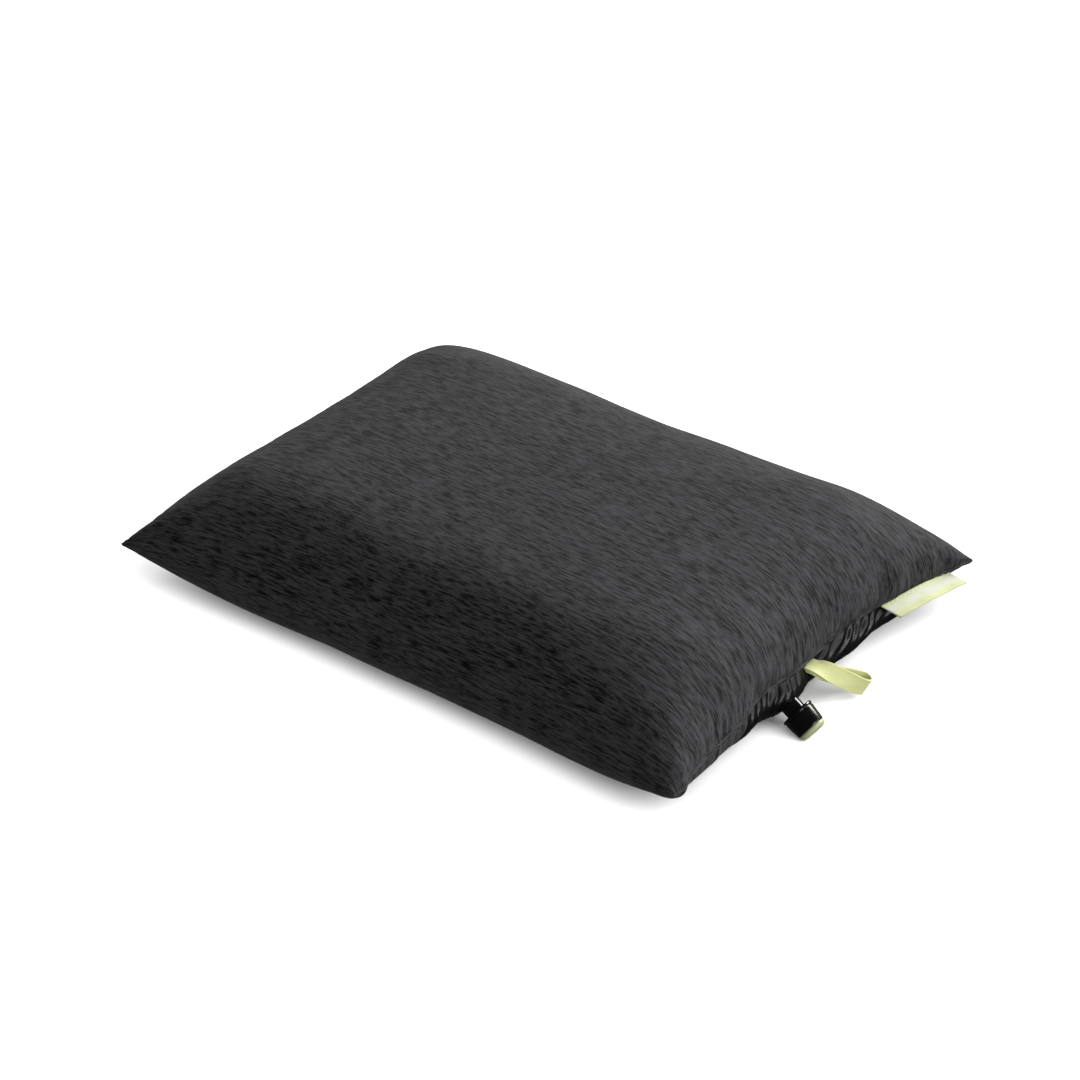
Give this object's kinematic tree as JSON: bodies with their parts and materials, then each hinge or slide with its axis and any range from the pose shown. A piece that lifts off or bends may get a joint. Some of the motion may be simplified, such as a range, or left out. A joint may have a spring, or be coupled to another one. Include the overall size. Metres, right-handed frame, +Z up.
{
  "type": "camp pillow",
  "caption": "Inflatable camp pillow: knitted cover with an open end, insulated air bladder with baffles, droopy twist valve with a coupled mouthpiece, pull loop and label tab.",
  "frame": {"origin": "centre of the flat underside that the pillow rests on, on the floor plane", "axes": "+X along the length towards the valve end, +Y along the width towards the label's corner, +Z up out of the crown"},
  "size_m": [0.3907, 0.278, 0.0835],
  "materials": {
    "jersey": "matte",
    "underside_weave": "matte",
    "batt": "matte",
    "bladder_fabric": "satin",
    "valve_black": "gloss",
    "valve_lime": "satin",
    "seal_rubber": "matte",
    "lime_ribbon": "satin"
  },
  "bodies": {
    "pillow": {"jersey_cover": "jersey", "underside_panel": "underside_weave", "upper_opening_hem": "jersey", "lower_opening_hem": "underside_weave", "insulation_batt": "batt", "bladder_top_skin": "bladder_fabric", "bladder_bottom_skin": "bladder_fabric", "front_baffle": "bladder_fabric", "rear_baffle": "bladder_fabric", "valve_flange": "valve_black", "valve_neck": "valve_black", "valve_plug": "valve_black", "plug_seal": "seal_rubber", "neck_o_ring": "seal_rubber", "loop_tab_root": "lime_ribbon", "label_tab_root": "lime_ribbon"},
    "mouthpiece": {"valve_mouthpiece": "valve_lime"},
    "knob": {"valve_knob": "valve_black"},
    "loop": {"loop_tab": "lime_ribbon"},
    "label": {"label_tab": "lime_ribbon"}
  },
  "joints": [
    {"name": "mouthpiece_lift", "type": "slide", "parent": "pillow", "child": "mouthpiece", "axis": [0.8387, 0, -0.5446], "range_m": [0, 0.002]},
    {"name": "knob_twist", "type": "hinge", "parent": "mouthpiece", "child": "knob", "pos_m": [0.1745, -0.016, 0.0198], "axis": [0.8387, 0, -0.5446], "range_deg": [0, 180]},
    {"name": "loop_flex", "type": "hinge", "parent": "pillow", "child": "loop", "pos_m": [0.177, 0.0058, 0.0292], "axis": [0, -1, 0], "range_deg": [0, 45]},
    {"name": "label_flex", "type": "hinge", "parent": "pillow", "child": "label", "pos_m": [0.1864, 0.10175, 0.03104], "axis": [-0.1411, -0.9899, -0.0098], "range_deg": [-20, 45], "stiffness_Nm_per_rad": 0.002}
  ],
  "couplings": [
    {"joint": "knob_twist", "follows": "mouthpiece_lift", "rad_per_m": 1570.8}
  ]
}
